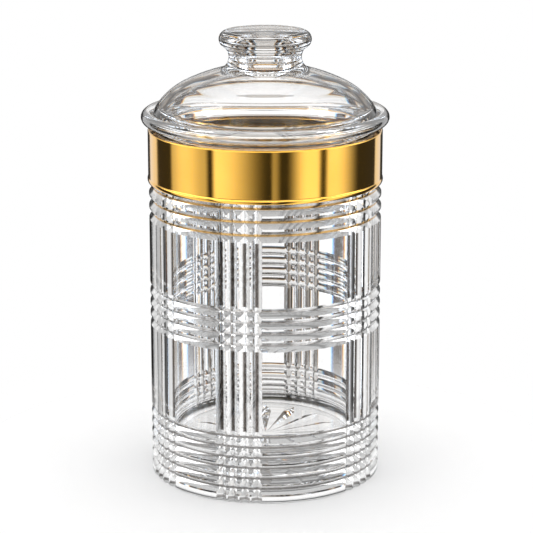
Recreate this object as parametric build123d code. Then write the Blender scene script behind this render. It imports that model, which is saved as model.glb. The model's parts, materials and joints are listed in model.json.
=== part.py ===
from build123d import *
import os
from math import acos, asin, cos, degrees, radians, sin, tan

# Storage canister of cut glass: a straight jar with a plaid of mitre cuts and a star under its
# floor, a gilt brass collar bonded round the neck, and a domed lid that plugs into the neck.
# Millimetres, +Z up, origin at the middle of the foot. Column angles run from -Y towards +X.

# Jar
body_radius = 57.0
body_height = 148.0
jar_wall = 8.0
floor_thickness = 22.5
floor_round = 5.0
foot_round = 1.2
foot_ring_width = 11.0
foot_recess = 1.0
rim_round = 1.0

# Mitre cuts in the jar's side, all ground with one wheel
wheel_angle = 112.0
foot_land = 4.6
low_band_cuts = 6
low_band_pitch = 5.2
low_band_land = 0.6
middle_band_height = 87.0
middle_band_cuts = 4
middle_band_pitch = 5.55
middle_band_land = 0.7
shoulder_land = 0.1
top_band_cuts = 3
top_band_pitch = 6.4
top_band_land = 1.0
column_angles = (-62.0, -13.0, 55.0, 106.0, 157.0, 219.0)
column_cuts = 4
column_pitch = 5.9
column_land = 0.6
cut_overrun = 1.0

# Star under the floor
star_rays = 16
star_hub_radius = 1.5
star_margin = 4.0
star_ray_width = 6.5
star_widest_share = 0.8

# Collar and its bond
collar_height = 25.6
collar_proud = 0.3
collar_wall = 1.2
collar_shoulder_round = 0.8
collar_lip = 5.4
hem_height = 2.4
hem_proud = 0.35
bond_thickness = 1.0

# Lid: foot ring, bead, dome and plug
seat_clearance = 0.3
foot_ring_inset = 3.8
foot_ring_rise = 2.45
bead_round = 3.2
bead_overhang = 3.25
dome_foot_angle = 140.0
dome_rise = 31.24
dome_wall = 4.2
crown_share = 1.507
haunch_share = 0.6603
pocket_rise = 5.45
pocket_round = 2.4
mouth_round = 2.0
plug_clearance = 1.4
plug_depth = 11.2
plug_wall = 3.6
plug_round = 0.8

# Lid: knob
waist_radius = 17.7
waist_rise = 35.0
neck_flare = 4.85
knob_radius = 22.5
knob_rise = 43.3
knob_rim_round = 4.1
knob_lip_angle = 67.0
knob_dish = 1.2
knob_cap = 7.0
knob_bore_radius = 10.0
knob_bore_round = 4.0

# Seal in the plug's groove
seal_groove_height = 8.55
seal_groove_depth = 1.6
seal_clearance = 0.25
lip_clearance = 0.3
lip_base = 1.8
lip_tip = 0.7

# Sizes that follow from those above
wheel_slope = tan(radians(wheel_angle / 2))
jar_bore_radius = body_radius - jar_wall
foot_inner_radius = body_radius - foot_ring_width
collar_radius = body_radius + collar_proud
collar_bore_radius = collar_radius - collar_wall
collar_top = body_height + collar_height
neck_radius = collar_bore_radius - bond_thickness
rim_height = collar_top - collar_wall
lid_seat = collar_top + seat_clearance
lid_radius = collar_radius + bead_overhang
plug_radius = jar_bore_radius - plug_clearance
plug_bore_radius = plug_radius - plug_wall
plug_bottom = lid_seat - plug_depth
lid_foot_radius = collar_radius - foot_ring_inset
groove_radius = plug_radius - seal_groove_depth
groove_bottom = lid_seat - seal_groove_height


def turned(*outline) -> Part:
    """A solid of revolution about Z from an outline of (radius, height) curves."""
    return revolve(Plane.XZ * make_face(outline), Axis.Z)


def cut_depth(width: float) -> float:
    """Depth at which the wheel leaves a cut of this width."""
    return width / 2 / wheel_slope


def ring_cuts() -> list[tuple[float, float]]:
    """Height and width of every ring cut, from the foot upwards."""
    low_width = low_band_pitch - low_band_land
    middle_width = middle_band_pitch - middle_band_land
    top_width = top_band_pitch - top_band_land
    low_first = foot_land + low_width / 2
    middle_first = middle_band_height - (middle_band_cuts - 1) * middle_band_pitch / 2
    top_last = body_height - shoulder_land - top_width / 2
    low = [(low_first + i * low_band_pitch, low_width) for i in range(low_band_cuts)]
    middle = [(middle_first + i * middle_band_pitch, middle_width) for i in range(middle_band_cuts)]
    top = [(top_last - i * top_band_pitch, top_width) for i in reversed(range(top_band_cuts))]
    return low + middle + top


def jar_blank() -> Part:
    """The jar as it leaves the lathe: ring cuts, neck, bore and foot, with no column or star cuts."""
    side = [(body_radius, foot_round)]
    for height, width in ring_cuts():
        side.append((body_radius, height - width / 2))
        side.append((body_radius - cut_depth(width), height))
        side.append((body_radius, height + width / 2))
    side.append((body_radius, body_height))
    side.append((neck_radius, body_height))
    side.append((neck_radius, rim_height - rim_round))
    foot = [
        (0, foot_recess),
        (foot_inner_radius, foot_recess),
        (foot_inner_radius, 0),
        (body_radius - foot_round, 0),
    ]
    rim = ((neck_radius - rim_round, rim_height), (jar_bore_radius + rim_round, rim_height))
    bore = (
        (jar_bore_radius, rim_height - rim_round),
        (jar_bore_radius, floor_thickness + floor_round),
    )
    floor = ((jar_bore_radius - floor_round, floor_thickness), (0, floor_thickness), (0, foot_recess))
    return turned(
        Polyline(*foot),
        CenterArc((body_radius - foot_round, foot_round), foot_round, -90, 90),
        Polyline(*side),
        CenterArc((neck_radius - rim_round, rim_height - rim_round), rim_round, 0, 90),
        Line(*rim),
        CenterArc((jar_bore_radius + rim_round, rim_height - rim_round), rim_round, 90, 90),
        Line(*bore),
        CenterArc((jar_bore_radius - floor_round, floor_thickness + floor_round), floor_round, 0, -90),
        Polyline(*floor),
    )


def column_wedges() -> list[Part]:
    """Upright wedges, one for each cut of each column, from below the foot to above the shoulder."""
    width = column_pitch - column_land
    depth = cut_depth(width)
    half_mouth = (depth + cut_overrun) * wheel_slope
    mouth = body_radius + cut_overrun
    section = Polyline((body_radius - depth, 0), (mouth, half_mouth), (mouth, -half_mouth), close=True)
    length = body_height + 2 * cut_overrun
    wedge = Pos(Z=-cut_overrun) * extrude(make_face(section), length, dir=(0, 0, 1))
    step = degrees(column_pitch / body_radius)
    first = -step * (column_cuts - 1) / 2
    return [
        Rot(Z=angle + first + i * step - 90) * wedge
        for angle in column_angles
        for i in range(column_cuts)
    ]


def star_points() -> list[Part]:
    """Kite-shaped pyramids that cut the star's rays upwards out of the foot's recess."""
    tip = foot_inner_radius - star_margin
    widest = tip * star_widest_share
    half = star_ray_width / 2
    kite = Polyline((star_hub_radius, 0), (widest, -half), (tip, 0), (widest, half), close=True)
    apex = Vertex(widest, 0, cut_depth(star_ray_width))
    ray = Pos(Z=foot_recess) * loft([make_face(kite), apex], ruled=True)
    return [Rot(Z=360 / star_rays * i) * ray for i in range(star_rays)]


def jar() -> Part:
    """Cut-glass jar with the plaid on its side and the star under its floor."""
    return jar_blank() - column_wedges() - star_points()


def collar() -> Part:
    """Brass band with a rolled hem at its foot and a top edge turned in over the glass rim."""
    hem_top = body_height + hem_height
    shoulder = collar_top - collar_shoulder_round
    lip_radius = collar_radius - collar_lip
    return turned(
        ThreePointArc(
            (collar_radius, body_height),
            (collar_radius + hem_proud, body_height + hem_height / 2),
            (collar_radius, hem_top),
        ),
        Line((collar_radius, hem_top), (collar_radius, shoulder)),
        CenterArc((collar_radius - collar_shoulder_round, shoulder), collar_shoulder_round, 0, 90),
        Polyline(
            (collar_radius - collar_shoulder_round, collar_top),
            (lip_radius, collar_top),
            (lip_radius, rim_height),
            (collar_bore_radius, rim_height),
            (collar_bore_radius, body_height),
            (collar_radius, body_height),
        ),
    )


def collar_bond() -> Part:
    """Layer between the collar and the neck, from the jar's shoulder to the collar's lip."""
    return turned(
        Polyline(
            (neck_radius, body_height),
            (collar_bore_radius, body_height),
            (collar_bore_radius, rim_height),
            (neck_radius - rim_round, rim_height),
        ),
        CenterArc((neck_radius - rim_round, rim_height - rim_round), rim_round, 90, -90),
        Line((neck_radius, rim_height - rim_round), (neck_radius, body_height)),
    )


def polar(middle: tuple[float, float], radius: float, angle: float) -> tuple[float, float]:
    """The point at this radius and angle in degrees from a middle."""
    return middle[0] + radius * cos(radians(angle)), middle[1] + radius * sin(radians(angle))


def lid() -> Part:
    """Glass lid: plug with a seal groove, foot ring, bead, dome of even wall and a knob bored from below."""
    bead = (lid_radius - bead_round, lid_seat + foot_ring_rise + bead_round)
    bead_bottom = lid_seat + foot_ring_rise

    # Dome: a wide crown arc runs into a tighter haunch arc that ends on the bead
    dome_foot = polar(bead, bead_round, dome_foot_angle)
    crown_radius = lid_radius * crown_share
    crown = (0, lid_seat + dome_rise - crown_radius)
    haunch_at = degrees(acos(lid_radius * haunch_share / crown_radius))
    joint = polar(crown, crown_radius, haunch_at)
    step = (dome_foot[0] - joint[0], dome_foot[1] - joint[1])
    drop = -step[0] * cos(radians(haunch_at)) - step[1] * sin(radians(haunch_at))
    haunch_radius = (step[0] ** 2 + step[1] ** 2) / (2 * drop)
    haunch = polar(joint, -haunch_radius, haunch_at)
    foot_at = degrees(asin((dome_foot[1] - haunch[1]) / haunch_radius))
    neck_at = degrees(acos((waist_radius + neck_flare) / crown_radius))
    neck_foot = polar(crown, crown_radius, neck_at)

    # Inside of the dome, and the pocket that runs out over the plug
    inner_crown = crown_radius - dome_wall
    inner_haunch = haunch_radius - dome_wall
    bore_at = degrees(acos(knob_bore_radius / inner_crown))
    bore_foot = polar(crown, inner_crown, bore_at)
    shelf = lid_seat + pocket_rise
    pocket_at = degrees(asin((shelf + pocket_round - haunch[1]) / (inner_haunch - pocket_round)))
    pocket = polar(haunch, inner_haunch - pocket_round, pocket_at)
    mouth = (plug_bore_radius + mouth_round, shelf - mouth_round)

    # Knob
    rim = (knob_radius - knob_rim_round, lid_seat + knob_rise)
    rim_foot = polar(rim, knob_rim_round, -knob_lip_angle)
    dish_bottom = rim[1] + knob_rim_round - knob_dish
    dish_radius = (rim[0] ** 2 + knob_dish**2) / (2 * knob_dish)
    dish_turn = degrees(asin(rim[0] / dish_radius))
    bore_top = dish_bottom - knob_cap
    bore_round = (knob_bore_radius - knob_bore_round, bore_top - knob_bore_round)
    return turned(
        Line((plug_bore_radius, plug_bottom), (plug_radius - plug_round, plug_bottom)),
        CenterArc((plug_radius - plug_round, plug_bottom + plug_round), plug_round, -90, 90),
        Polyline(
            (plug_radius, plug_bottom + plug_round),
            (plug_radius, groove_bottom),
            (groove_radius, groove_bottom),
            (groove_radius, lid_seat),
            (lid_foot_radius, lid_seat),
            (lid_foot_radius, bead_bottom),
            (bead[0], bead_bottom),
        ),
        CenterArc(bead, bead_round, -90, 90 + dome_foot_angle),
        CenterArc(haunch, haunch_radius, foot_at, haunch_at - foot_at),
        CenterArc(crown, crown_radius, haunch_at, neck_at - haunch_at),
        ThreePointArc(neck_foot, (waist_radius, lid_seat + waist_rise), rim_foot),
        CenterArc(rim, knob_rim_round, -knob_lip_angle, 90 + knob_lip_angle),
        CenterArc((0, dish_bottom + dish_radius), dish_radius, dish_turn - 90, -dish_turn),
        Polyline((0, dish_bottom), (0, bore_top), (bore_round[0], bore_top)),
        CenterArc(bore_round, knob_bore_round, 90, -90),
        Line((knob_bore_radius, bore_round[1]), bore_foot),
        CenterArc(crown, inner_crown, bore_at, haunch_at - bore_at),
        CenterArc(haunch, inner_haunch, haunch_at, pocket_at - haunch_at),
        CenterArc(pocket, pocket_round, pocket_at, -90 - pocket_at),
        Line((pocket[0], shelf), (mouth[0], shelf)),
        CenterArc(mouth, mouth_round, 90, 90),
        Line((plug_bore_radius, mouth[1]), (plug_bore_radius, plug_bottom)),
    )


def lid_seal() -> Part:
    """Soft ring round the plug, under the foot ring, with two lips that reach for the neck's bore."""
    bottom = groove_bottom + seal_clearance
    top = lid_seat - seal_clearance
    inner = groove_radius + seal_clearance
    lip = jar_bore_radius - lip_clearance
    taper = (lip_base - lip_tip) / 2
    return turned(
        Polyline(
            (inner, bottom),
            (plug_radius, bottom),
            (lip, bottom + taper),
            (lip, bottom + taper + lip_tip),
            (plug_radius, bottom + lip_base),
            (plug_radius, top - lip_base),
            (lip, top - taper - lip_tip),
            (lip, top - taper),
            (plug_radius, top),
            (inner, top),
            close=True,
        )
    )


os.makedirs("parts", exist_ok=True)
for piece in (jar, collar, collar_bond, lid, lid_seal):
    export_step(piece(), f"parts/{piece.__name__}.step")
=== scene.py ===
import json
import logging
from abc import ABC, abstractmethod
from collections.abc import Mapping, Sequence
from dataclasses import dataclass, field, replace
from enum import Enum
from math import acos, asin, atan2, ceil, cos, degrees, dist, pi, radians, sin, tan
from typing import Any, ClassVar

import bmesh
import bpy
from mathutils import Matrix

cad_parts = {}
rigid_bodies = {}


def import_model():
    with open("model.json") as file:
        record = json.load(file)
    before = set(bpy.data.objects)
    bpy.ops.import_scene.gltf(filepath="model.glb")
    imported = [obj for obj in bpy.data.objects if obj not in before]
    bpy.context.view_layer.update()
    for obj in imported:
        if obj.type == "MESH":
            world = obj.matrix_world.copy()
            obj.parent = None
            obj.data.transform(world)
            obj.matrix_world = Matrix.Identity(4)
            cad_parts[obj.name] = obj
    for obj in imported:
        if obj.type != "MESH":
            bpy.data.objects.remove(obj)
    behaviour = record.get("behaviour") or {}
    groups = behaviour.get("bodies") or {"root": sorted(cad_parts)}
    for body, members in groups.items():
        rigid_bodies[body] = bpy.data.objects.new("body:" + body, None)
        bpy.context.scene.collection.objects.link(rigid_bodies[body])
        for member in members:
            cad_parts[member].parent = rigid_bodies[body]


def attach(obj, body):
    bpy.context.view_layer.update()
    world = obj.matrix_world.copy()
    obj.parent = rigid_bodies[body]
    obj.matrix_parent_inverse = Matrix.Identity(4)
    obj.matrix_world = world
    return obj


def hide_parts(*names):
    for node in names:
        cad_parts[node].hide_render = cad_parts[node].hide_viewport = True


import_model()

LOG = logging.getLogger("canister")
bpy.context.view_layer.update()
MM = 0.001

# Points nearer than this are one point.
WELD = 1e-6

# Angles, and directions in a half section, in degrees from straight outwards.
FULL_TURN = 360.0
QUARTER = 90.0
OUT = 0.0
UP = 90.0
IN = 180.0
DOWN = -90.0
RADIAN = 180.0 / pi

# The attribute that says how much of a cut a point takes.
CUT_SHARE = "cut"

# An edge with fewer faces than this is an open one.
SHARED_EDGE = 1.5

Point = tuple[float, float]
Span = tuple[float, float]
Colour = tuple[float, float, float, float]

WHITE: Colour = (1.0, 1.0, 1.0, 1.0)
# Painted reflection: the collar's gold as mirrored in the top band's cuts, laid on them as a line colour.
PAINTED_COLLAR_REFLECTION: Colour = (0.85, 0.45, 0.05, 1.0)


class Body(Enum):
    """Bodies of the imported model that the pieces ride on."""

    CANISTER = "canister"
    SEAL = "seal"
    LID = "lid"


class MixSocket(Enum):
    """Places of a colour Mix node's inputs."""

    SHARE = 0
    FROM = 6
    TO = 7


@dataclass(frozen=True)
class CutBand:
    """A band of ring cuts, from its lowest cut upwards."""

    lowest: float
    pitch: float
    land: float
    count: int

    def cuts(self) -> list[tuple[float, float]]:
        """Height and half width of every cut."""
        half = (self.pitch - self.land) / 2
        return [(self.lowest + i * self.pitch, half) for i in range(self.count)]


LOW_BAND = CutBand(6.9 * MM, 5.2 * MM, 0.6 * MM, 6)
MIDDLE_BAND = CutBand(78.675 * MM, 5.55 * MM, 0.7 * MM, 4)
TOP_BAND = CutBand(132.4 * MM, 6.4 * MM, 1.0 * MM, 3)


class Signal:
    """A node's output socket that takes part in Python arithmetic by adding Math nodes."""

    def __init__(self, graph: "Graph", socket: bpy.types.NodeSocket) -> None:
        """Wraps one socket.

        Args:
            graph: The graph that new nodes go into.
            socket: The output socket to wrap.
        """
        self.graph = graph
        self.socket = socket

    def of(self, name: str) -> "Signal":
        """Another output of the same node."""
        return Signal(self.graph, self.socket.node.outputs[name])

    def math(self, operation: str, *others: Any) -> "Signal":
        """This value through a Math node, with up to two more operands."""
        sockets = dict(enumerate((self, *others)))
        return self.graph.add("ShaderNodeMath", {"operation": operation}, sockets)

    def __add__(self, other: Any) -> "Signal":
        """self + other."""
        return self.math("ADD", other)

    __radd__ = __add__

    def __sub__(self, other: Any) -> "Signal":
        """self - other."""
        return self.math("SUBTRACT", other)

    def __rsub__(self, other: float) -> "Signal":
        """other - self."""
        return self.graph.add("ShaderNodeMath", {"operation": "SUBTRACT"}, {0: other, 1: self})

    def __mul__(self, other: Any) -> "Signal":
        """self * other."""
        return self.math("MULTIPLY", other)

    __rmul__ = __mul__

    def __truediv__(self, other: Any) -> "Signal":
        """self / other."""
        return self.math("DIVIDE", other)

    def __abs__(self) -> "Signal":
        """The value without its sign."""
        return self.math("ABSOLUTE")

    def step(self, low: float, high: float) -> "Signal":
        """A smooth step from 0 at low to 1 at high, or from 1 to 0 where high is the lower one.

        Args:
            low: Value at which the result is 0.
            high: Value at which the result is 1.

        Returns:
            The stepped value, between 0 and 1.
        """
        sockets = {"Value": self, "From Min": low, "From Max": high}
        return self.graph.add("ShaderNodeMapRange", {"interpolation_type": "SMOOTHSTEP"}, sockets)

    def within(self, span: Span, blur: float) -> "Signal":
        """A smooth window.

        Args:
            span: Lowest and highest value at which the result is 1.
            blur: Distance outside the span at which the result is 0.

        Returns:
            The windowed value, between 0 and 1.
        """
        low, high = span
        return self.step(low - blur, low) * self.step(high + blur, high)

    def mix(self, start: Any, end: Any) -> "Signal":
        """The colour at this share of the way between two colours."""
        places = {MixSocket.SHARE.value: self, MixSocket.FROM.value: start, MixSocket.TO.value: end}
        return self.graph.add("ShaderNodeMix", {"data_type": "RGBA"}, places)


class Graph:
    """A node tree that is filled in by one method."""

    def __init__(self, tree: bpy.types.NodeTree) -> None:
        """Starts on an emptied tree.

        Args:
            tree: Shader or geometry tree.
        """
        self.tree = tree
        tree.nodes.clear()

    def add(
        self,
        kind: str,
        settings: Mapping[str, Any] | None = None,
        sockets: Mapping[str | int, Any] | None = None,
    ) -> Signal:
        """Adds any node.

        Args:
            kind: The node's type name.
            settings: Properties, set before the inputs.
            sockets: Values or Signals for the node's inputs, by name or by place.

        Returns:
            The node's first output, or its first input for a node with none.
        """
        node = self.tree.nodes.new(kind)
        for key, value in (settings or {}).items():
            setattr(node, key, value)
        for key, value in (sockets or {}).items():
            target = node.inputs[key]
            if isinstance(value, Signal):
                self.tree.links.new(value.socket, target)
            else:
                target.default_value = value
        ends = [s for s in node.outputs if s.enabled] or list(node.inputs)
        return Signal(self, ends[0])

    def place(self) -> Signal:
        """The spot on the piece, in the piece's own coordinates."""
        return self.add("ShaderNodeTexCoord").of("Object")

    def noise(self, place: Signal, scale: float, detail: float) -> Signal:
        """Cloudy noise at a spot."""
        return self.add("ShaderNodeTexNoise", None, {"Vector": place, "Scale": scale, "Detail": detail})

    def bump(self, height: Signal, strength: float, distance: float) -> Signal:
        """The normal of a surface that this height lifts."""
        sockets = {"Strength": strength, "Distance": distance, "Height": height}
        return self.add("ShaderNodeBump", None, sockets)

    def blend(self, share: Signal, first: Signal, second: Signal) -> Signal:
        """The shader at this share of the way between two shaders."""
        return self.add("ShaderNodeMixShader", None, {0: share, 1: first, 2: second})


def new_material(name: str) -> tuple[bpy.types.Material, Graph]:
    """Makes an empty node material.

    Args:
        name: Name of the material.

    Returns:
        The material and its graph.
    """
    material = bpy.data.materials.new(name)
    material.use_nodes = True
    return material, Graph(material.node_tree)


@dataclass(frozen=True)
class BrightZone:
    """A ring-shaped zone of a glass piece that mirrors more than the rest, with painted shade and painted
    dark lines in its cuts.
    """

    low: float
    high: float
    inner: float = 53.0 * MM
    outer: float = 56.9 * MM
    blur: float = 0.06 * MM
    roughness: float = 0.02
    silver: float = 0.65
    # Painted shade: how much darker the base colour of the zone's cut faces is made.
    painted_shade: float = 0.05
    valley: Span = (56.0 * MM, 55.4 * MM)
    painted_line_share: float = 0.95
    # Dark by default: painted shade in the creases at the bottom of the cuts.
    painted_line_colour: Colour = (0.035, 0.02, 0.01, 1.0)

    def mask(self, place: Signal) -> Signal:
        """Marks the zone.

        Args:
            place: The spot on the piece.

        Returns:
            1 in the zone and 0 elsewhere.
        """
        radius, height = self.polar(place)
        ring = radius.step(self.outer + self.blur, self.outer) * radius.math("GREATER_THAN", self.inner)
        return ring * height.math("GREATER_THAN", self.low) * height.math("LESS_THAN", self.high)

    def line(self, place: Signal) -> Signal:
        """How much the painted line's colour covers: most at the bottom of a cut, as painted shade."""
        radius, _ = self.polar(place)
        return self.mask(place) * radius.step(*self.valley) * self.painted_line_share

    @staticmethod
    def polar(place: Signal) -> tuple[Signal, Signal]:
        """Turns a spot into polar measures.

        Args:
            place: The spot on the piece.

        Returns:
            Its distance from the axis, and its height.
        """
        spot = place.graph.add("ShaderNodeSeparateXYZ", None, {0: place})
        square = spot.of("X") * spot.of("X") + spot.of("Y") * spot.of("Y")
        return square.math("SQRT"), spot.of("Z")


@dataclass(frozen=True)
class RingZone(BrightZone):
    """A zone of ring cuts, with a painted line on the side of every cut that faces down: painted shade where
    the line is dark, a painted reflection of the collar where it is gold.
    """

    band: CutBand = LOW_BAND
    line_width: Span = (1.0 * MM, 0.4 * MM)
    line_rise: float = 0.5 * MM

    def line(self, place: Signal) -> Signal:
        """Places the painted line just above the bottom of every cut.

        Args:
            place: The spot on the piece.

        Returns:
            How much the painted line's colour covers.
        """
        _, height = self.polar(place)
        first = self.band.lowest + self.line_rise
        offset = abs(height - first).math("PINGPONG", self.band.pitch / 2)
        return self.mask(place) * offset.step(*self.line_width) * self.painted_line_share


@dataclass(frozen=True)
class Finish(ABC):
    """A surface, with the name of its material and its slot."""

    name: str
    slot: str

    @abstractmethod
    def sockets(self, graph: Graph) -> dict[str | int, Any]:
        """Adds the finish's own nodes.

        Args:
            graph: The material's graph.

        Returns:
            Inputs of its Principled surface.
        """

    def material(self) -> bpy.types.Material:
        """Makes the finish.

        Returns:
            A material with one Principled surface.
        """
        material, graph = new_material(self.name)
        shader = graph.add("ShaderNodeBsdfPrincipled", None, self.sockets(graph))
        graph.add("ShaderNodeOutputMaterial", None, {"Surface": shader})
        return material


@dataclass(frozen=True)
class GlassFinish(Finish):
    """Clear glass with the faint ripple that polishing leaves, and zones of brighter cuts with painted shade
    and painted lines.
    """

    ior: float = 1.52
    clarity: float = 1.0
    ripple_scale: float = 60.0
    ripple_detail: float = 1.0
    ripple_depth: float = 0.02 * MM
    ripple_strength: float = 0.1
    zones: tuple[BrightZone, ...] = ()

    def sockets(self, graph: Graph) -> dict[str | int, Any]:
        """Makes a glass with a rippled normal.

        The zones mirror what meets them from outside, and stay clear for light inside the glass. Their cuts
        get painted shade and painted lines in the base colour.

        Args:
            graph: The material's graph.

        Returns:
            Inputs of its Principled surface.
        """
        place = graph.place()
        noise = graph.noise(place, self.ripple_scale, self.ripple_detail)
        masks = [(zone.mask(place), zone) for zone in self.zones]
        # Painted shade: each zone's cut faces get a darker base colour, and the zone's painted lines are laid
        # over that.
        painted_tone = 1.0 - sum(mask * zone.painted_shade for mask, zone in masks)
        colour = graph.add("ShaderNodeCombineColor", None, dict(enumerate((painted_tone, painted_tone, painted_tone))))
        for zone in self.zones:
            colour = zone.line(place).mix(colour, zone.painted_line_colour)
        outside = 1.0 - graph.add("ShaderNodeNewGeometry").of("Backfacing")
        return {
            "Base Color": colour,
            "Roughness": sum(mask * zone.roughness for mask, zone in masks),
            "Metallic": outside * sum(mask * zone.silver for mask, zone in masks),
            "IOR": self.ior,
            "Transmission Weight": self.clarity,
            "Normal": graph.bump(noise, self.ripple_strength, self.ripple_depth),
        }


@dataclass(frozen=True)
class GiltFinish(Finish):
    """Polished gold with a trace of the buffing wheel's lines, under lacquer."""

    colour: Colour = (1.0, 0.56, 0.08, 1.0)
    deep_colour: Colour = (0.96, 0.51, 0.06, 1.0)
    smooth: float = 0.05
    hazy: float = 0.11
    cloud_scale: float = 26.0
    cloud_detail: float = 3.0
    cloud_span: Span = (0.3, 0.7)
    buff_scale: float = 900.0
    buff_detail: float = 2.0
    buff_stretch: tuple[float, float, float] = (0.02, 0.02, 1.0)
    buff_strength: float = 0.03
    buff_depth: float = 1.0 * MM
    metallic: float = 1.0
    lacquer: float = 0.8

    def sockets(self, graph: Graph) -> dict[str | int, Any]:
        """Makes a metal whose haze and colour drift a little.

        Args:
            graph: The material's graph.

        Returns:
            Inputs of its Principled surface.
        """
        place = graph.place()
        drift = graph.noise(place, self.cloud_scale, self.cloud_detail).step(*self.cloud_span)
        stretch = graph.add("ShaderNodeMapping", None, {"Vector": place, "Scale": self.buff_stretch})
        lines = graph.noise(stretch, self.buff_scale, self.buff_detail)
        return {
            "Base Color": drift.mix(self.colour, self.deep_colour),
            "Metallic": self.metallic,
            "Coat Weight": self.lacquer,
            "Roughness": self.smooth + (self.hazy - self.smooth) * drift,
            "Normal": graph.bump(lines, self.buff_strength, self.buff_depth),
        }


@dataclass(frozen=True)
class SiliconeFinish(Finish):
    """Soft clear amber rubber."""

    colour: Colour = (1.0, 0.52, 0.1, 1.0)
    roughness: float = 0.06
    ior: float = 1.41
    clarity: float = 0.95

    def sockets(self, graph: Graph) -> dict[str | int, Any]:
        """Makes a clear rubber of one colour.

        Args:
            graph: The material's graph.

        Returns:
            Inputs of its Principled surface.
        """
        return {
            "Base Color": self.colour,
            "Roughness": self.roughness,
            "IOR": self.ior,
            "Transmission Weight": self.clarity,
        }


# Painted shade and painted lines in the cuts: dark lines stand for shade in the creases, and the top band's
# gold line is a painted reflection of the collar.
JAR_ZONES = (
    RingZone(0.0, 36.0 * MM, silver=0.6, painted_line_share=0.75, band=LOW_BAND),
    BrightZone(36.0 * MM, 76.0 * MM, painted_shade=0.12),
    RingZone(76.0 * MM, 98.0 * MM, painted_shade=0.0, painted_line_share=0.35, band=MIDDLE_BAND),
    BrightZone(98.0 * MM, 129.0 * MM, painted_shade=0.12),
    RingZone(129.0 * MM, 147.9 * MM, silver=0.6, painted_line_share=0.9, painted_line_colour=PAINTED_COLLAR_REFLECTION, band=TOP_BAND),
)
LID_BEAD = BrightZone(
    176.5 * MM,
    184.0 * MM,
    inner=55.2 * MM,
    outer=61.0 * MM,
    roughness=0.0,
    silver=0.25,
    painted_shade=0.0,
    painted_line_share=0.0,
)
CUT_GLASS = GlassFinish("cut_crystal", "cut_glass", ior=1.53, zones=JAR_ZONES)
LID_GLASS = GlassFinish("lid_crystal", "lid_glass", zones=(LID_BEAD,))
GILT_BRASS = GiltFinish("polished_gilt", "gilt_brass")
GOLD_RESIN = GiltFinish(
    "gilt_resin",
    "gold_resin",
    colour=(1.0, 0.6, 0.12, 1.0),
    deep_colour=(0.98, 0.56, 0.1, 1.0),
    smooth=0.08,
    hazy=0.14,
)
AMBER_RUBBER = SiliconeFinish("amber_rubber", "amber_silicone")


def direction(x: float, y: float) -> float:
    """Direction of (x, y) in degrees, from 0 to a full turn."""
    return degrees(atan2(y, x)) % FULL_TURN


def polar(middle: Point, radius: float, angle: float) -> Point:
    """The point at this radius and angle in degrees from a middle."""
    return middle[0] + radius * cos(radians(angle)), middle[1] + radius * sin(radians(angle))


class Outline:
    """An outline of (radius, height) points, built up from straight runs and arcs."""

    def __init__(self, *points: Point) -> None:
        """Starts with some points."""
        self.points: list[Point] = list(points)

    def to(self, *points: Point) -> "Outline":
        """Adds straight runs to these points."""
        self.points += points
        return self

    def arc(self, middle: Point, radius: float, start: float, turn: float, step: float) -> "Outline":
        """Adds a round stretch, both ends included.

        Args:
            middle: Centre of the arc.
            radius: Its radius.
            start: Angle of its first point, in degrees from the outward direction.
            turn: Signed angle that it covers, in degrees.
            step: Largest angle between two points.

        Returns:
            This outline.
        """
        count = max(1, ceil(abs(turn) / step))
        self.points += [polar(middle, radius, start + turn * i / count) for i in range(count + 1)]
        return self

    def through(self, start: Point, waist: Point, end: Point, step: float) -> "Outline":
        """Adds the arc from start to end that passes through waist.

        Args:
            start: First point of the arc.
            waist: A point on the way.
            end: Last point of the arc.
            step: Largest angle between two points.

        Returns:
            This outline.
        """
        (ax, ay), (bx, by), (cx, cy) = start, waist, end
        scale = 2 * (ax * (by - cy) + bx * (cy - ay) + cx * (ay - by))
        a, b, c = ax * ax + ay * ay, bx * bx + by * by, cx * cx + cy * cy
        x = (a * (by - cy) + b * (cy - ay) + c * (ay - by)) / scale
        y = (a * (cx - bx) + b * (ax - cx) + c * (bx - ax)) / scale
        first, middle, last = (direction(px - x, py - y) for px, py in (start, waist, end))
        turn = (last - first) % FULL_TURN
        if (middle - first) % FULL_TURN > turn:
            turn -= FULL_TURN
        return self.arc((x, y), dist(start, (x, y)), first, turn, step)

    def tidy(self) -> list[Point]:
        """Leaves out doubles.

        Returns:
            The points that are left, in order.
        """
        kept = [self.points[0]]
        for point in self.points[1:]:
            if abs(point[0] - kept[-1][0]) + abs(point[1] - kept[-1][1]) > WELD:
                kept.append(point)
        return kept


def link(obj: bpy.types.Object) -> bpy.types.Object:
    """Links an object to the scene and returns it."""
    bpy.context.scene.collection.objects.link(obj)
    return obj


def helper(
    name: str, points: Sequence[tuple[float, float, float]], shares: Sequence[float]
) -> bpy.types.Object:
    """A bare chain of points that a Geometry Nodes tree reads.

    Args:
        name: Name of the object.
        points: Its vertices.
        shares: How much of a cut every vertex takes, kept as the attribute that the trees read.

    Returns:
        The object, linked to the scene.
    """
    mesh = bpy.data.meshes.new(name)
    mesh.from_pydata(points, [(i, i + 1) for i in range(len(points) - 1)], [])
    mesh.attributes.new(CUT_SHARE, "FLOAT", "POINT").data.foreach_set("value", list(shares))
    return link(bpy.data.objects.new(name, mesh))


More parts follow.
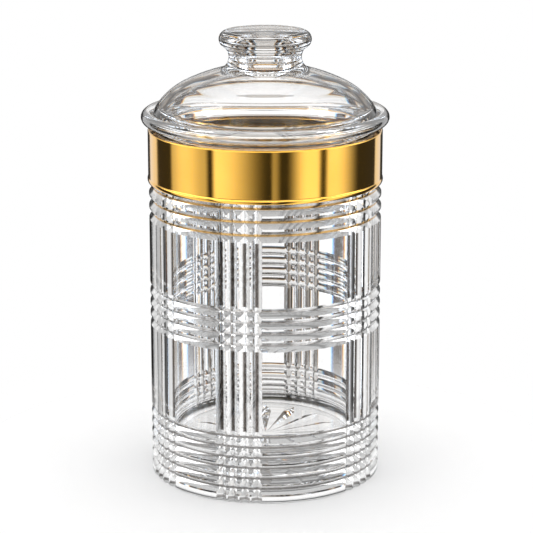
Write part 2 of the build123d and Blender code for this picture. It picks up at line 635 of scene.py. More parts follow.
class Tree:
    """A Geometry Nodes tree with named inputs, applied to one object at a time."""

    def __init__(self, name: str, inputs: Mapping[str, str]) -> None:
        """Makes the group with its inputs.

        Args:
            name: Name of the node group.
            inputs: Socket type of every input, by name.
        """
        self.group = bpy.data.node_groups.new(name, "GeometryNodeTree")
        self.graph = Graph(self.group)
        face = self.group.interface
        face.new_socket("Geometry", in_out="OUTPUT", socket_type="NodeSocketGeometry")
        self.ids = {
            label: face.new_socket(label, in_out="INPUT", socket_type=kind).identifier
            for label, kind in {"Geometry": "NodeSocketGeometry", **inputs}.items()
        }
        self.start = self.graph.add("NodeGroupInput")

    def end(self, geometry: Signal) -> None:
        """Finishes the tree: sharp edges, realized copies and the finish.

        Args:
            geometry: What the tree has made.
        """
        graph = self.graph
        angle = graph.add("GeometryNodeInputMeshEdgeAngle")
        soft = self.less(angle, self.start.of("Sharp Angle"))
        for domain, smooth in (("FACE", True), ("EDGE", soft)):
            sockets = {"Geometry": geometry, "Shade Smooth": smooth}
            geometry = graph.add("GeometryNodeSetShadeSmooth", {"domain": domain}, sockets)
        real = graph.add("GeometryNodeRealizeInstances", None, {"Geometry": geometry})
        sockets = {"Geometry": real, "Material": self.start.of("Finish")}
        graph.add("NodeGroupOutput", None, {0: graph.add("GeometryNodeSetMaterial", None, sockets)})

    def less(self, value: Signal, limit: Any) -> Signal:
        """True where a value is under a limit."""
        settings = {"data_type": "FLOAT", "operation": "LESS_THAN"}
        return self.graph.add("FunctionNodeCompare", settings, {0: value, 1: limit})

    def form(self, name: str) -> Signal:
        """The geometry of an object that is one of the inputs."""
        return self.graph.add("GeometryNodeObjectInfo", None, {"Object": self.start.of(name)}).of("Geometry")

    def weld(self, geometry: Signal) -> Signal:
        """The geometry with its doubles merged."""
        return self.graph.add("GeometryNodeMergeByDistance", None, {"Geometry": geometry, "Distance": WELD})

    def vector(self, x: Any, y: Any, z: Any) -> Signal:
        """A vector from three values."""
        return self.graph.add("ShaderNodeCombineXYZ", None, dict(enumerate((x, y, z))))

    def join(self, *parts: Signal) -> Signal:
        """Joins geometries.

        Args:
            parts: The geometries.

        Returns:
            All of them as one.
        """
        joined = self.graph.add("GeometryNodeJoinGeometry")
        for part in parts:
            self.graph.tree.links.new(part.socket, joined.socket.node.inputs[0])
        return joined

    def apply(self, obj: bpy.types.Object, values: Mapping[str, Any]) -> bpy.types.Object:
        """Runs the tree on an object and leaves the result as its plain mesh.

        Args:
            obj: Object whose mesh is the tree's geometry input.
            values: Value of every named input.

        Returns:
            The same object.
        """
        modifier = obj.modifiers.new(self.group.name, "NODES")
        modifier.node_group = self.group
        for label, value in values.items():
            modifier[self.ids[label]] = value
        depsgraph = bpy.context.evaluated_depsgraph_get()
        mesh = bpy.data.meshes.new_from_object(obj.evaluated_get(depsgraph), depsgraph=depsgraph)
        obj.modifiers.remove(modifier)
        old = obj.data
        obj.data = mesh
        bpy.data.meshes.remove(old)
        mesh.name = obj.name
        mesh.materials.clear()
        mesh.materials.append(values["Finish"])
        mesh.polygons.foreach_set("material_index", [0] * len(mesh.polygons))
        return obj


class TurnedPiece(Tree):
    """Turns an outline about Z and presses upright cuts into its cut stretch."""

    def __init__(self) -> None:
        """Builds the tree."""
        super().__init__(
            "turned_piece",
            {
                "Ring": "NodeSocketObject",
                "Body Radius": "NodeSocketFloat",
                "Cut Depth": "NodeSocketFloat",
                "Sharp Angle": "NodeSocketFloat",
                "Finish": "NodeSocketMaterial",
            },
        )
        graph = self.graph
        outline = self.start.of("Geometry")
        ring = self.form("Ring")
        along, around = (
            graph.add("GeometryNodeAttributeDomainSize", None, {"Geometry": chain}).of("Point Count")
            for chain in (outline, ring)
        )
        grid = graph.add("GeometryNodeMeshGrid", None, {"Vertices X": around, "Vertices Y": along})
        index = graph.add("GeometryNodeInputIndex")
        lap = (index / along).math("FLOOR")
        rank = index - lap * along
        place = graph.add("GeometryNodeInputPosition")
        cut = graph.add("GeometryNodeInputNamedAttribute", {"data_type": "FLOAT"}, {"Name": CUT_SHARE})
        section = self._sample(outline, "FLOAT_VECTOR", place, rank)
        reach = self._sample(outline, "FLOAT", cut, rank)
        spoke = self._sample(ring, "FLOAT_VECTOR", place, lap)
        depth = self._sample(ring, "FLOAT", cut, lap)
        flat = graph.add("ShaderNodeSeparateXYZ", None, {0: section})
        turn = graph.add("ShaderNodeSeparateXYZ", None, {0: spoke})
        radius = flat.of("X")
        floor = self.start.of("Body Radius") - self.start.of("Cut Depth") * depth
        radius = radius - reach * (radius - floor).math("MAXIMUM", 0.0)
        spot = self.vector(radius * turn.of("X"), radius * turn.of("Y"), flat.of("Z"))
        shaped = graph.add("GeometryNodeSetPosition", None, {"Geometry": grid, "Position": spot})
        settings = {"quad_method": "LONGEST_DIAGONAL"}
        self.end(graph.add("GeometryNodeTriangulate", settings, {"Mesh": self.weld(shaped)}))

    def _sample(self, source: Signal, kind: str, value: Signal, index: Signal) -> Signal:
        """A value of another geometry's point, by its number."""
        sockets = {"Geometry": source, "Value": value, "Index": index}
        return self.graph.add("GeometryNodeSampleIndex", {"data_type": kind, "domain": "POINT"}, sockets)


class StarFoot(Tree):
    """Closes a jar's foot with a flat disc that has one hollow ray repeated round the axis."""

    def __init__(self) -> None:
        """Builds the tree."""
        super().__init__(
            "star_foot",
            {
                "Ring": "NodeSocketObject",
                "Ray": "NodeSocketObject",
                "Rays": "NodeSocketInt",
                "Radius": "NodeSocketFloat",
                "Height": "NodeSocketFloat",
                "Sharp Angle": "NodeSocketFloat",
                "Finish": "NodeSocketMaterial",
            },
        )
        graph = self.graph
        points = graph.add("GeometryNodePoints", None, {"Count": self.start.of("Rays")})
        turn = graph.add("GeometryNodeInputIndex") * (2 * pi) / self.start.of("Rays")
        sockets = {"Points": points, "Instance": self.form("Ray"), "Rotation": self.vector(0.0, 0.0, turn)}
        rays = graph.add("GeometryNodeInstanceOnPoints", None, sockets)
        hollows = graph.add("GeometryNodeRealizeInstances", None, {"Geometry": rays})
        edge = self.less(graph.add("GeometryNodeInputMeshEdgeNeighbors"), SHARED_EDGE)
        mouths = graph.add("GeometryNodeMeshToCurve", None, {"Mesh": hollows, "Selection": edge})
        radius = self.start.of("Radius")
        sockets = {"Geometry": self.weld(self.form("Ring")), "Scale": self.vector(radius, radius, 1.0)}
        rim = graph.add("GeometryNodeTransform", None, sockets)
        rim = graph.add("GeometryNodeMeshToCurve", None, {"Mesh": rim})
        disc = graph.add("GeometryNodeFillCurve", None, {"Curve": self.join(rim, mouths)})
        lift = self.vector(0.0, 0.0, self.start.of("Height"))
        disc = graph.add("GeometryNodeSetPosition", None, {"Geometry": disc, "Offset": lift})
        self.end(self.weld(self.join(self.start.of("Geometry"), disc, hollows)))


@dataclass(frozen=True)
class RingLine:
    """One upright line of a turned piece: its angle in degrees from -Y, and its share of a full cut."""

    angle: float
    share: float = 0.0


def ring_helper(name: str, ring: Sequence[RingLine]) -> bpy.types.Object:
    """A ring's lines as points on the unit circle."""
    spokes = [(sin(radians(line.angle)), -cos(radians(line.angle)), 0.0) for line in ring]
    return helper(name + "_ring", spokes, [line.share for line in ring])


def plain_ring(count: int) -> list[RingLine]:
    """Evenly spaced lines with no cuts, first and last in one place."""
    return [RingLine(FULL_TURN * i / count) for i in range(count + 1)]


@dataclass
class Workshop:
    """The trees and the way every turned piece is made."""

    sharp_angle: float = radians(24.0)
    lathe: TurnedPiece = field(default_factory=TurnedPiece)

    def turn(
        self,
        name: str,
        outline: Sequence[Point],
        ring: Sequence[RingLine],
        finish: bpy.types.Material,
        cut_reach: Sequence[float] | None = None,
        body_radius: float = 1.0,
        cut_depth: float = 0.0,
    ) -> bpy.types.Object:
        """Makes a turned piece.

        Args:
            name: Name of the piece.
            outline: Its (radius, height) points from axis to axis, or round and back to the first.
            ring: Its upright lines.
            finish: Its material.
            cut_reach: 1 for every outline point that upright cuts reach, else 0.
            body_radius: Radius that the cuts are measured from.
            cut_depth: Depth of a full cut.

        Returns:
            The piece as a closed mesh.
        """
        reach = cut_reach or [0.0] * len(outline)
        piece = helper(name, [(r, 0.0, z) for r, z in outline], reach)
        wheel = ring_helper(name, ring)
        self.lathe.apply(
            piece,
            {
                "Ring": wheel,
                "Body Radius": body_radius,
                "Cut Depth": cut_depth,
                "Sharp Angle": self.sharp_angle,
                "Finish": finish,
            },
        )
        bpy.data.objects.remove(wheel)
        face_outwards(piece)
        return piece


def face_outwards(piece: bpy.types.Object) -> None:
    """Turns every face of a closed piece to the outside.

    Args:
        piece: The piece.
    """
    work = bmesh.new()
    work.from_mesh(piece.data)
    bmesh.ops.recalc_face_normals(work, faces=work.faces)
    work.to_mesh(piece.data)
    work.free()


def register(piece: bpy.types.Object, body: Body, node: str) -> None:
    """Gives a finished piece its place in the model.

    Args:
        piece: The piece.
        body: The body that it rides on.
        node: The CAD node that it stands for.
    """
    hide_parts(node)
    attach(piece, body.value)


@dataclass
class Jar:
    """The cut-glass jar: plaid side, star foot, thick floor and plain neck."""

    finish: GlassFinish = CUT_GLASS
    body_radius: float = 57.0 * MM
    shoulder: float = 148.0 * MM
    rim_height: float = 172.4 * MM
    neck_radius: float = 55.1 * MM
    bore_radius: float = 49.0 * MM
    floor: float = 22.5 * MM
    floor_round: float = 5.0 * MM
    floor_step: float = 7.5
    foot_round: float = 1.2 * MM
    foot_step: float = 10.0
    foot_inner: float = 46.0 * MM
    recess: float = 1.0 * MM
    rim_round: float = 1.0 * MM
    rim_step: float = 15.0
    wheel_angle: float = 112.0
    cut_steps: int = 6
    cut_hollow: float = 0.3
    bands: tuple[CutBand, ...] = (LOW_BAND, MIDDLE_BAND, TOP_BAND)
    column_angles: tuple[float, ...] = (-62.0, -13.0, 55.0, 106.0, 157.0, 219.0)
    column_cuts: int = 4
    column_pitch: float = 5.9 * MM
    column_land: float = 0.6 * MM
    panel_step: float = 1.5
    star_rays: int = 16
    star_hub: float = 1.5 * MM
    star_widest: float = 33.6 * MM
    star_tip: float = 42.0 * MM
    star_width: float = 6.5 * MM
    star_depth: float = 2.2 * MM

    def outline(self) -> tuple[list[Point], list[float]]:
        """The half section from the recess round the outside to the floor.

        Returns:
            Its points, and 1 for those that the columns cut, else 0.
        """
        line = Outline((self.foot_inner, self.recess), (self.foot_inner, 0.0))
        edge = self.body_radius - self.foot_round
        line.arc((edge, self.foot_round), self.foot_round, DOWN, QUARTER, self.foot_step)
        for band in self.bands:
            for height, half in band.cuts():
                depth = self.cut_depth(half)
                line.to(*((self.body_radius - depth * s, height + half * u) for u, s in self.flute()))
        line.to((self.body_radius, self.shoulder), (self.neck_radius, self.shoulder))
        turn = self.rim_height - self.rim_round
        line.arc((self.neck_radius - self.rim_round, turn), self.rim_round, OUT, QUARTER, self.rim_step)
        line.arc((self.bore_radius + self.rim_round, turn), self.rim_round, UP, QUARTER, self.rim_step)
        corner = (self.bore_radius - self.floor_round, self.floor + self.floor_round)
        line.arc(corner, self.floor_round, OUT, -QUARTER, self.floor_step)
        points = line.to((0.0, self.floor)).tidy()
        low = self.neck_radius + WELD
        return points, [1.0 if r > low and z <= self.shoulder + WELD else 0.0 for r, z in points]

    def cut_depth(self, half_width: float) -> float:
        """Depth at which the wheel leaves a cut of this half width."""
        return half_width / tan(radians(self.wheel_angle / 2))

    def flute(self) -> list[tuple[float, float]]:
        """A slightly hollow cut: place across it from -1 to 1, and share of the full depth there."""
        places = [2.0 * i / self.cut_steps - 1.0 for i in range(self.cut_steps + 1)]
        return [(u, (1.0 - abs(u)) * (1.0 + self.cut_hollow * abs(u))) for u in places]

    def ring(self) -> list[RingLine]:
        """Spreads the upright lines: several across every column cut, and fine steps in between.

        Returns:
            The lines all the way round, first and last in one place.
        """
        step = degrees(self.column_pitch / self.body_radius)
        half = degrees((self.column_pitch - self.column_land) / 2 / self.body_radius)
        lines: list[RingLine] = []
        for angle in sorted(self.column_angles):
            for i in range(self.column_cuts):
                middle = angle + (i - (self.column_cuts - 1) / 2) * step
                lines += [RingLine(middle + half * u, s) for u, s in self.flute()]
        lines.append(RingLine(lines[0].angle + FULL_TURN))
        full: list[RingLine] = []
        for here, after in zip(lines, lines[1:]):
            gap = after.angle - here.angle
            parts = ceil(gap / self.panel_step) if here.share == after.share == 0.0 else 1
            full.append(here)
            full += [RingLine(here.angle + gap * k / parts) for k in range(1, parts)]
        return full + [lines[-1]]

    def ray(self) -> bpy.types.Object:
        """Makes one ray of the star.

        Returns:
            Its facets, which meet at its deepest point.
        """
        half, wide = self.star_width / 2, self.star_widest
        mouth = [(self.star_hub, 0.0), (wide, -half), (self.star_tip, 0.0), (wide, half)]
        count = len(mouth)
        points = [(x, y, self.recess) for x, y in mouth]
        points.append((wide, 0.0, self.recess + self.star_depth))
        mesh = bpy.data.meshes.new("star_ray")
        mesh.from_pydata(points, [], [(i, (i + 1) % count, count) for i in range(count)])
        return link(bpy.data.objects.new("star_ray", mesh))

    def build(self, shop: Workshop) -> bpy.types.Object:
        """Turns and cuts the jar, closes its foot and gives it its place in the model.

        Args:
            shop: What turns it.

        Returns:
            The piece.
        """
        finish = self.finish.material()
        points, reach = self.outline()
        lines = self.ring()
        depth = self.cut_depth((self.column_pitch - self.column_land) / 2)
        piece = shop.turn("cut_jar", points, lines, finish, reach, self.body_radius, depth)
        ring, ray = ring_helper("foot", lines), self.ray()
        values = {
            "Ring": ring,
            "Ray": ray,
            "Rays": self.star_rays,
            "Radius": self.foot_inner,
            "Height": self.recess,
            "Sharp Angle": shop.sharp_angle,
            "Finish": finish,
        }
        StarFoot().apply(piece, values)
        bpy.data.objects.remove(ring)
        bpy.data.objects.remove(ray)
        face_outwards(piece)
        register(piece, Body.CANISTER, "jar")
        return piece


class RoundPiece(ABC):
    """A piece whose section is the same all the way round."""

    name: ClassVar[str]
    node: ClassVar[str]
    body: ClassVar[Body] = Body.CANISTER
    finish: Finish
    segments: int

    @abstractmethod
    def outline(self) -> list[Point]:
        """The (radius, height) points of its section."""

    def build(self, shop: Workshop) -> bpy.types.Object:
        """Turns the piece and gives it its place in the model.

        Args:
            shop: What turns it.

        Returns:
            The piece.
        """
        piece = shop.turn(self.name, self.outline(), plain_ring(self.segments), self.finish.material())
        register(piece, self.body, self.node)
        return piece


@dataclass
class Collar(RoundPiece):
    """The gilt band with its rolled hem and turned-in top."""

    name: ClassVar[str] = "gilt_collar"
    node: ClassVar[str] = "collar"
    finish: GiltFinish = GILT_BRASS
    segments: int = 192
    radius: float = 57.3 * MM
    wall: float = 1.2 * MM
    bottom: float = 148.0 * MM
    top: float = 173.6 * MM
    shoulder_round: float = 0.8 * MM
    shoulder_step: float = 7.5
    lip: float = 5.4 * MM
    hem_height: float = 2.4 * MM
    hem_proud: float = 0.35 * MM
    hem_step: float = 8.0

    def outline(self) -> list[Point]:
        """The band's closed section.

        Returns:
            Its points, from the bottom edge up the outside and back down the inside.
        """
        hem_top = self.bottom + self.hem_height
        bulge = (self.radius + self.hem_proud, self.bottom + self.hem_height / 2)
        inside = self.radius - self.wall
        under = self.top - self.wall
        line = Outline((inside, self.bottom))
        line.through((self.radius, self.bottom), bulge, (self.radius, hem_top), self.hem_step)
        shoulder = (self.radius - self.shoulder_round, self.top - self.shoulder_round)
        line.arc(shoulder, self.shoulder_round, OUT, QUARTER, self.shoulder_step)
        lip = self.radius - self.lip
        line.to((lip, self.top), (lip, under), (inside, under), (inside, self.bottom))
        return line.tidy()


@dataclass
class Bond(RoundPiece):
    """The gold resin between collar and neck, a hair clear of both."""

    name: ClassVar[str] = "gilt_bond"
    node: ClassVar[str] = "collar_bond"
    finish: GiltFinish = GOLD_RESIN
    segments: int = 128
    inner: float = 55.1 * MM
    outer: float = 56.1 * MM
    bottom: float = 148.0 * MM
    top: float = 171.4 * MM
    hair: float = 0.03 * MM

    def outline(self) -> list[Point]:
        """The layer's closed section.

        Returns:
            Its four corners, the first one twice.
        """
        inner, outer = self.inner + self.hair, self.outer - self.hair
        low, high = self.bottom + self.hair, self.top - self.hair
        return [(inner, low), (outer, low), (outer, high), (inner, high), (inner, low)]


@dataclass
class Seal(RoundPiece):
    """The soft ring in the plug's groove."""

    name: ClassVar[str] = "soft_seal"
    node: ClassVar[str] = "lid_seal"
    body: ClassVar[Body] = Body.SEAL
    finish: SiliconeFinish = AMBER_RUBBER
    segments: int = 128
    inner: float = 46.25 * MM
    outer: float = 47.6 * MM
    lip: float = 48.7 * MM
    bottom: float = 165.6 * MM
    top: float = 173.65 * MM
    lip_base: float = 1.8 * MM
    lip_tip: float = 0.7 * MM

    def outline(self) -> list[Point]:
        """The ring's closed section.

        Returns:
            Its points, from the bottom up the outside over both lips and back down the inside.
        """
        taper = (self.lip_base - self.lip_tip) / 2
        line = Outline((self.inner, self.bottom), (self.outer, self.bottom))
        for low in (self.bottom, self.top - self.lip_base):
            line.to((self.outer, low), (self.lip, low + taper), (self.lip, low + taper + self.lip_tip))
            line.to((self.outer, low + self.lip_base))
        return line.to((self.outer, self.top), (self.inner, self.top), (self.inner, self.bottom)).tidy()


@dataclass(frozen=True)
class Dome:
    """A dome's section: the crown's arc about the axis, and the haunch's arc that runs on from it."""

    crown: Point
    crown_radius: float
    haunch: Point
    haunch_radius: float
    joint_at: float

    def crown_at(self, radius: float) -> float:
        """Angle at which the crown is this far from the axis."""
        return degrees(acos(radius / self.crown_radius))

    def inside(self, wall: float) -> "Dome":
        """The inner face of a wall of this thickness."""
        return replace(self, crown_radius=self.crown_radius - wall, haunch_radius=self.haunch_radius - wall)


@dataclass
class Lid(RoundPiece):
    """The glass lid: plug with a seal groove, bead, dome of even wall and bored knob."""

    name: ClassVar[str] = "domed_lid"
    node: ClassVar[str] = "lid"
    body: ClassVar[Body] = Body.LID
    finish: GlassFinish = LID_GLASS
    segments: int = 192
    seat: float = 173.9 * MM
    radius: float = 60.5 * MM
    foot_radius: float = 53.5 * MM
    foot_rise: float = 2.45 * MM
    bead_round: float = 3.2 * MM
    bead_step: float = 4.0
    dome_foot_angle: float = 140.0
    dome_rise: float = 31.24 * MM
    dome_wall: float = 4.2 * MM
    crown_share: float = 1.507
    crown_step: float = 0.6
    haunch_share: float = 0.6603
    haunch_step: float = 1.2
    pocket_rise: float = 5.45 * MM
    pocket_round: float = 2.4 * MM
    pocket_step: float = 8.0
    mouth_round: float = 2.0 * MM
    mouth_step: float = 9.0
    plug_radius: float = 47.6 * MM
    plug_depth: float = 11.2 * MM
    plug_wall: float = 3.6 * MM
    plug_round: float = 0.8 * MM
    plug_step: float = 15.0
    groove_height: float = 8.55 * MM
    groove_depth: float = 1.6 * MM
    waist_radius: float = 17.7 * MM
    waist_rise: float = 35.0 * MM
    neck_flare: float = 4.85 * MM
    knob_radius: float = 22.5 * MM
    knob_rise: float = 43.3 * MM
    knob_round: float = 4.1 * MM
    knob_lip_angle: float = 67.0
    knob_step: float = 5.0
    knob_dish: float = 1.2 * MM
    dish_steps: int = 12
    knob_cap: float = 7.0 * MM
    knob_bore: float = 10.0 * MM
    knob_bore_round: float = 4.0 * MM
    bore_step: float = 7.5

    @property
    def bead(self) -> Point:
        """Middle of the bead's round."""
        return self.radius - self.bead_round, self.seat + self.foot_rise + self.bead_round

    @property
    def knob_rim(self) -> Point:
        """Middle of the round at the knob's edge."""
        return self.knob_radius - self.knob_round, self.seat + self.knob_rise

    @property
    def dish_low(self) -> float:
        """Height of the dish in the knob's top, on the axis."""
        return self.knob_rim[1] + self.knob_round - self.knob_dish

    @property
    def plug_bore(self) -> float:
        """Inner radius of the plug."""
        return self.plug_radius - self.plug_wall

    def dome(self) -> Dome:
        """Fits the dome between its top and its foot on the bead.

        Returns:
            The dome's outer face.
        """
        foot = polar(self.bead, self.bead_round, self.dome_foot_angle)
        crown_radius = self.radius * self.crown_share
        crown = (0.0, self.seat + self.dome_rise - crown_radius)
        joint_at = degrees(acos(self.radius * self.haunch_share / crown_radius))
        joint = polar(crown, crown_radius, joint_at)
        inwards = polar((0.0, 0.0), -1.0, joint_at)
        step = (foot[0] - joint[0], foot[1] - joint[1])
        haunch_radius = (step[0] ** 2 + step[1] ** 2) / (2 * (step[0] * inwards[0] + step[1] * inwards[1]))
        return Dome(crown, crown_radius, polar(joint, -haunch_radius, joint_at), haunch_radius, joint_at)

    def outline(self) -> list[Point]:
        """The half section.

        Returns:
            Its points, from the knob's dish round the outside to the knob's bore.
        """
        dome = self.dome()
        line = Outline()
        self._draw_knob(line, dome)
        self._draw_outside(line, dome)
        self._draw_plug(line)
        self._draw_inside(line, dome.inside(self.dome_wall))
        return line.tidy()

    def _draw_knob(self, line: Outline, dome: Dome) -> None:
        """Draws the dish, the knob's edge and its waisted neck.

        Args:
            line: The outline so far.
            dome: The dome's outer face.
        """
        rim = self.knob_rim
        dish_radius = (rim[0] ** 2 + self.knob_dish**2) / (2 * self.knob_dish)
        dish_turn = degrees(asin(rim[0] / dish_radius))
        dish = (0.0, self.dish_low + dish_radius)
        line.arc(dish, dish_radius, DOWN, dish_turn, dish_turn / self.dish_steps)
        line.arc(rim, self.knob_round, UP, -QUARTER - self.knob_lip_angle, self.knob_step)
        lip = polar(rim, self.knob_round, -self.knob_lip_angle)
        waist = (self.waist_radius, self.seat + self.waist_rise)
        neck_at = dome.crown_at(self.waist_radius + self.neck_flare)
        line.through(lip, waist, polar(dome.crown, dome.crown_radius, neck_at), self.knob_step)

    def _draw_outside(self, line: Outline, dome: Dome) -> None:
        """Draws the dome's outer face and the bead.

        Args:
            line: The outline so far.
            dome: The dome's outer face.
        """
        neck_at = dome.crown_at(self.waist_radius + self.neck_flare)
        foot = polar(self.bead, self.bead_round, self.dome_foot_angle)
        foot_at = direction(foot[0] - dome.haunch[0], foot[1] - dome.haunch[1])
        line.arc(dome.crown, dome.crown_radius, neck_at, dome.joint_at - neck_at, self.crown_step)
        line.arc(dome.haunch, dome.haunch_radius, dome.joint_at, foot_at - dome.joint_at, self.haunch_step)
        bead_turn = -QUARTER - self.dome_foot_angle
        line.arc(self.bead, self.bead_round, self.dome_foot_angle, bead_turn, self.bead_step)

    def _draw_plug(self, line: Outline) -> None:
        """Draws the foot ring, the seal's groove and the plug.

        Args:
            line: The outline so far.
        """
        bead_low = self.seat + self.foot_rise
        groove = self.plug_radius - self.groove_depth
        groove_low = self.seat - self.groove_height
        low = self.seat - self.plug_depth
        line.to((self.foot_radius, bead_low), (self.foot_radius, self.seat), (groove, self.seat))
        line.to((groove, groove_low), (self.plug_radius, groove_low))
        corner = (self.plug_radius - self.plug_round, low + self.plug_round)
        line.arc(corner, self.plug_round, OUT, -QUARTER, self.plug_step)
        line.to((self.plug_bore, low))

    def _draw_inside(self, line: Outline, dome: Dome) -> None:
        """Draws the plug's mouth, the pocket behind the bead, the dome's inner face and the knob's bore.

        Args:
            line: The outline so far.
            dome: The dome's inner face.
        """
        shelf = self.seat + self.pocket_rise
        mouth = (self.plug_bore + self.mouth_round, shelf - self.mouth_round)
        reach = dome.haunch_radius - self.pocket_round
        pocket_at = degrees(asin((shelf + self.pocket_round - dome.haunch[1]) / reach))
        pocket = polar(dome.haunch, reach, pocket_at)
        bore_at = dome.crown_at(self.knob_bore)
        bore_top = self.dish_low - self.knob_cap - self.knob_bore_round
        line.arc(mouth, self.mouth_round, IN, -QUARTER, self.mouth_step)
        line.arc(pocket, self.pocket_round, DOWN, QUARTER + pocket_at, self.pocket_step)
        line.arc(dome.haunch, dome.haunch_radius, pocket_at, dome.joint_at - pocket_at, self.haunch_step)
        line.arc(dome.crown, dome.crown_radius, dome.joint_at, bore_at - dome.joint_at, self.crown_step)
        bore = (self.knob_bore - self.knob_bore_round, bore_top)
        line.arc(bore, self.knob_bore_round, OUT, QUARTER, self.bore_step)
        line.to((0.0, bore_top + self.knob_bore_round))


@dataclass(frozen=True)
class PhotoCamera:
    """The camera at the photograph's viewing angle."""

    image_side: float = 533.0
    focal_pixels: float = 2145.7
    distance: float = 1063.8 * MM
    target_height: float = 103.63 * MM
    pitch: float = 14.615
    axis_offset_pixels: float = 1.3
    sensor: float = 36.0

    def place(self) -> bpy.types.Object:
        """Puts the camera in the scene.

        Returns:
            The camera.
        """
        data = bpy.data.cameras.new("photo_camera")
        data.sensor_fit = "HORIZONTAL"
        data.sensor_width = self.sensor
        data.lens = self.focal_pixels / self.image_side * self.sensor
        data.shift_x = self.axis_offset_pixels / self.image_side
        data.clip_start = MM
        camera = link(bpy.data.objects.new("photo_camera", data))
        tilt = radians(self.pitch)
        camera.location = (0.0, -self.distance * cos(tilt), self.target_height + self.distance * sin(tilt))
        camera.rotation_euler = (pi / 2 - tilt, 0.0, 0.0)
        bpy.context.scene.camera = camera
        return camera


@dataclass(frozen=True)
class Softbox:
    """An upright strip of light all the way up, by azimuth in degrees from -Y towards +X."""

    rise: Span
    fall: Span
    level: float = 1.0

    def light(self, around: Signal) -> Signal:
        """Brightness that the strip adds in a direction."""
        return around.step(*self.rise) * around.step(*reversed(self.fall)) * self.level


@dataclass(frozen=True)
class MirroredRoom:
    """What shiny faces mirror: upright strips with dark gaps, a tent over them, windows and louvres.

    Azimuths are in degrees from -Y towards +X, and heights in degrees above the horizon. A pair that is a
    start, an end or an around goes from where its part adds nothing to where it adds all.
    """

    gap_level: float = 0.04
    strips: tuple[Softbox, ...] = (
        Softbox((-157.0, -151.0), (-134.0, -128.0), 0.9),
        Softbox((-106.0, -101.0), (-61.0, -55.0), 0.6),
        Softbox((-106.0, -86.0), (-82.0, -60.0), 0.5),
        Softbox((-54.0, -48.0), (-47.0, 4.0), 1.3),
        Softbox((5.0, 8.0), (9.0, 16.0), 0.4),
        Softbox((20.0, 42.0), (51.0, 57.0), 1.4),
        Softbox((59.0, 65.0), (72.0, 104.0), 1.3),
        Softbox((133.0, 138.0), (151.0, 156.0), 0.85),
    )
    strip_end: Span = (12.0, 2.0)
    tent_start: Span = (0.0, 12.0)
    tent_end: Span = (74.0, 62.0)
    tent_level: float = 0.4
    side_tent_around: Span = (90.0, 110.0)
    side_tent_end: Span = (48.0, 36.0)
    side_tent_level: float = 0.4
    window_sides: Span = (90.0, 115.0)
    window_heights: Span = (51.0, 63.0)
    window_blur: float = 2.0
    window_level: float = 8.0
    louvre_around: Span = (125.0, 105.0)
    louvres: tuple[Span, ...] = ((3.0, 9.0), (21.0, 29.0))
    louvre_blur: float = 2.0
    louvre_level: float = 2.5

    def light(self, around: Signal, up: Signal) -> Signal:
        """Adds up the light from a direction.

        Args:
            around: Its azimuth.
            up: Its height.

        Returns:
            Its brightness.
        """
        aside = abs(around)
        light = sum((strip.light(around) for strip in self.strips), self.gap_level) * up.step(*self.strip_end)
        tent = up.step(*self.tent_end) * self.tent_level
        sides = aside.step(*self.side_tent_around) * up.step(*self.side_tent_end) * self.side_tent_level
        light = light + up.step(*self.tent_start) * (tent + sides)
        pane = aside.within(self.window_sides, self.window_blur)
        light = light + pane * up.within(self.window_heights, self.window_blur) * self.window_level
        wide = aside.step(*self.louvre_around) * self.louvre_level
        for louvre in self.louvres:
            light = light + up.within(louvre, self.louvre_blur) * wide
        return light


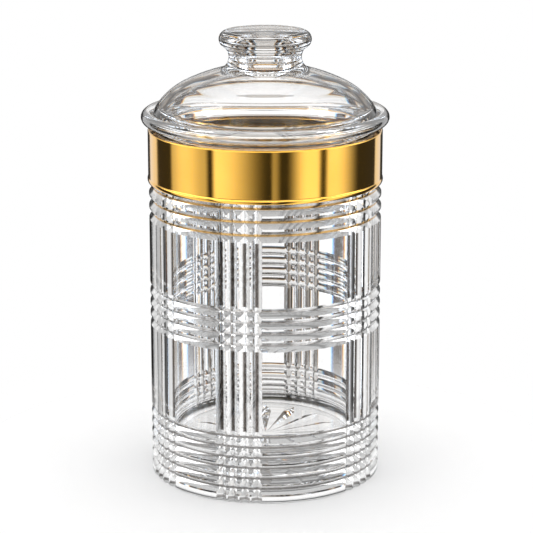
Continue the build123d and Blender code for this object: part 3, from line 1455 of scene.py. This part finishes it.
@dataclass(frozen=True)
class BentRoom:
    """What shows through the glass: a sweep behind thin dark slats and shelves, and a bright ceiling.

    Directions are given as in the mirrored room.
    """

    sweep_level: float = 1.15
    wall_start: Span = (0.0, 3.0)
    wall_level: float = 0.75
    low_start: Span = (-20.0, -28.0)
    low_level: float = 0.6
    front_around: Span = (75.0, 35.0)
    front_end: Span = (24.0, 14.0)
    front_level: float = 0.3
    key_start: Span = (18.0, 28.0)
    key_level: float = 0.2
    ceiling_start: Span = (35.0, 60.0)
    ceiling_level: float = 1.1
    zenith_start: Span = (58.0, 66.0)
    zenith_level: float = 0.05
    side_boxes: Softbox = Softbox((70.0, 90.0), (125.0, 140.0), 2.0)
    bars: tuple[Softbox, ...] = (
        Softbox((-166.0, -162.0), (-156.0, -150.0), 0.7),
        Softbox((150.0, 154.0), (160.0, 166.0), 0.7),
    )
    slat_pitch: float = 45.0
    slats: tuple[Span, ...] = ((9.0, 12.0), (15.5, 18.5))
    slat_level: float = 0.05
    shelves: tuple[Span, ...] = ((2.5, 5.5), (11.0, 14.0), (22.0, 27.0))
    shelf_level: float = 0.08
    edge_blur: float = 0.8
    dispersion: tuple[float, float, float] = (-0.18, 0.0, 0.18)
    warmth: tuple[float, float, float] = (0.9, 1.0, 1.12)

    def light(self, around: Signal, up: Signal) -> Signal:
        """Adds up the light from a direction.

        Args:
            around: Its azimuth.
            up: Its height.

        Returns:
            Its brightness.
        """
        aside = abs(around)
        light = self.sweep_level - up.step(*self.wall_start) * (self.sweep_level - self.wall_level)
        light = light - up.step(*self.low_start) * (self.sweep_level - self.low_level)
        front = aside.step(*self.front_around)
        light = light * (1.0 - front * up.step(*self.front_end) * (1.0 - self.front_level))
        light = light + front * up.step(*self.key_start) * self.key_level
        light = light + up.step(*self.ceiling_start) * (self.ceiling_level - self.wall_level)
        light = light - up.step(*self.zenith_start) * (self.ceiling_level - self.zenith_level)
        light = light + self.side_boxes.light(aside)
        for bar in self.bars:
            light = light * (1.0 - bar.light(around))
        swing = around.math("PINGPONG", self.slat_pitch / 2)
        dark = [(swing, slat, self.slat_level) for slat in self.slats]
        dark += [(up, shelf, self.shelf_level) for shelf in self.shelves]
        for value, span, level in dark:
            light = light * (1.0 - value.within(span, self.edge_blur) * (1.0 - level))
        return light

    def colours(self, around: Signal, up: Signal) -> list[Signal]:
        """Splits the light from a direction as glass does, with warm dark parts.

        Args:
            around: Its azimuth.
            up: Its height.

        Returns:
            Its red, green and blue brightness.
        """
        shares = []
        for turn, power in zip(self.dispersion, self.warmth):
            level = self.light(around + turn, up + turn) / self.sweep_level
            shares.append(level.math("POWER", power) * self.sweep_level)
        return shares


@dataclass(frozen=True)
class Studio:
    """The stage: a pale floor, an overhead softbox, and a room each for mirrored and for bent light."""

    floor_radius: float = 320.0 * MM
    floor_sides: int = 96
    floor_fade: Span = (70.0 * MM, 200.0 * MM)
    floor_colour: Colour = (0.95, 0.95, 0.95, 1.0)
    painted_glow_radius: Span = (52.0 * MM, 46.0 * MM)
    painted_glow_level: float = 1.0
    lamp_height: float = 1.6
    lamp_side: float = 1.4
    lamp_power: float = 4.0
    lamp_shift: Point = (0.0, 0.1)
    sky_level: float = 1.05
    mirrored: MirroredRoom = MirroredRoom()
    bent: BentRoom = BentRoom()

    def floor(self) -> bpy.types.Object:
        """Lays a pale disc that takes the shadow, glows under the foot as painted light and runs out into the
        white sweep.

        Returns:
            The disc.
        """
        mesh = bpy.data.meshes.new("floor")
        work = bmesh.new()
        bmesh.ops.create_circle(work, cap_ends=True, segments=self.floor_sides, radius=self.floor_radius)
        work.to_mesh(mesh)
        work.free()
        floor = link(bpy.data.objects.new("floor", mesh))
        material, graph = new_material("pale_floor")
        length = graph.add("ShaderNodeVectorMath", {"operation": "LENGTH"}, {0: graph.place()}).of("Value")
        paper = graph.add("ShaderNodeBsdfDiffuse", None, {"Color": self.floor_colour})
        # Painted light: under the jar's foot the disc glows white instead of lying in the jar's shade.
        white = graph.add("ShaderNodeEmission", None, {"Color": WHITE, "Strength": self.painted_glow_level})
        lit = graph.blend(length.step(*self.painted_glow_radius), paper, white)
        clear = graph.add("ShaderNodeBsdfTransparent")
        surface = graph.blend(length.step(*self.floor_fade), lit, clear)
        graph.add("ShaderNodeOutputMaterial", None, {"Surface": surface})
        mesh.materials.append(material)
        return floor

    def lamp(self) -> bpy.types.Object:
        """Hangs the overhead softbox.

        Returns:
            The lamp.
        """
        data = bpy.data.lights.new("overhead_softbox", "AREA")
        data.size = self.lamp_side
        data.energy = self.lamp_power
        lamp = link(bpy.data.objects.new("overhead_softbox", data))
        lamp.location = (*self.lamp_shift, self.lamp_height)
        return lamp

    def world(self) -> bpy.types.World:
        """Sets the surroundings: white for the camera, one room for gloss and one for what glass bends.

        Returns:
            The world.
        """
        world = bpy.data.worlds.new("white_studio")
        world.use_nodes = True
        graph = Graph(world.node_tree)
        ray = graph.add("ShaderNodeTexCoord").of("Generated")
        axis = graph.add("ShaderNodeSeparateXYZ", None, {0: ray})
        around = axis.of("X").math("ARCTAN2", 0.0 - axis.of("Y")) * RADIAN
        up = axis.of("Z").math("ARCSINE") * RADIAN
        path = graph.add("ShaderNodeLightPath")
        through = path.of("Is Transmission Ray")
        gloss = path.of("Is Glossy Ray") - through
        plain = path.of("Is Camera Ray") + path.of("Is Diffuse Ray") * self.sky_level
        plain = plain + gloss * self.mirrored.light(around, up)
        shares = [plain + through * share for share in self.bent.colours(around, up)]
        colour = graph.add("ShaderNodeCombineColor", None, dict(enumerate(shares)))
        sky = graph.add("ShaderNodeBackground", None, {"Color": colour, "Strength": 1.0})
        graph.add("ShaderNodeOutputWorld", None, {"Surface": sky})
        bpy.context.scene.world = world
        return world

    def build(self) -> None:
        """Sets the whole stage."""
        self.floor()
        self.lamp()
        self.world()
        bpy.context.scene.view_settings.view_transform = "Standard"


def main() -> None:
    """Builds the canister piece by piece, reports every piece and sets the stage."""
    logging.basicConfig(level=logging.INFO, format="%(name)s %(message)s")
    shop = Workshop()
    for maker in (Jar(), Collar(), Bond(), Seal(), Lid()):
        piece = maker.build(shop)
        LOG.info("%s: %d faces", piece.name, len(piece.data.polygons))
    PhotoCamera().place()
    Studio().build()


if __name__ == "__main__":
    main()
